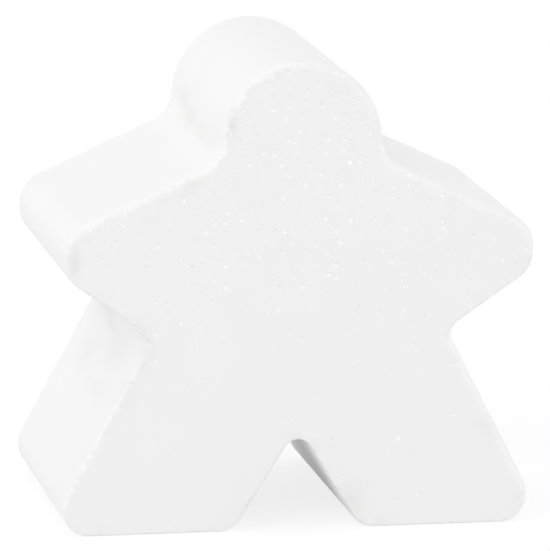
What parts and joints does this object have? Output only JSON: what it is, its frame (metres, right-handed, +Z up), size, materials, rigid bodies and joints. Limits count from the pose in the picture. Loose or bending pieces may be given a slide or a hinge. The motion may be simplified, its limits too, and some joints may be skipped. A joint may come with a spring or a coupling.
{
  "type": "wooden game figure",
  "caption": "Person-shaped standing game piece sliced from profiled wood, with a round head, spread arms and forked legs, under a film of white paint.",
  "frame": {"origin": "middle of the soles, halfway between the front and back faces", "axes": "+Z up from the soles to the head, +X across the arms, front face towards -Y"},
  "size_m": [0.016, 0.0098, 0.0159],
  "materials": {
    "wood": "sawn end grain front and back, planed long grain round the sides",
    "paint": "satin white acrylic paint"
  },
  "bodies": {
    "root": {"wood_core": "wood", "paint_coat": "paint", "sole_coat": "paint"}
  },
  "joints": []
}
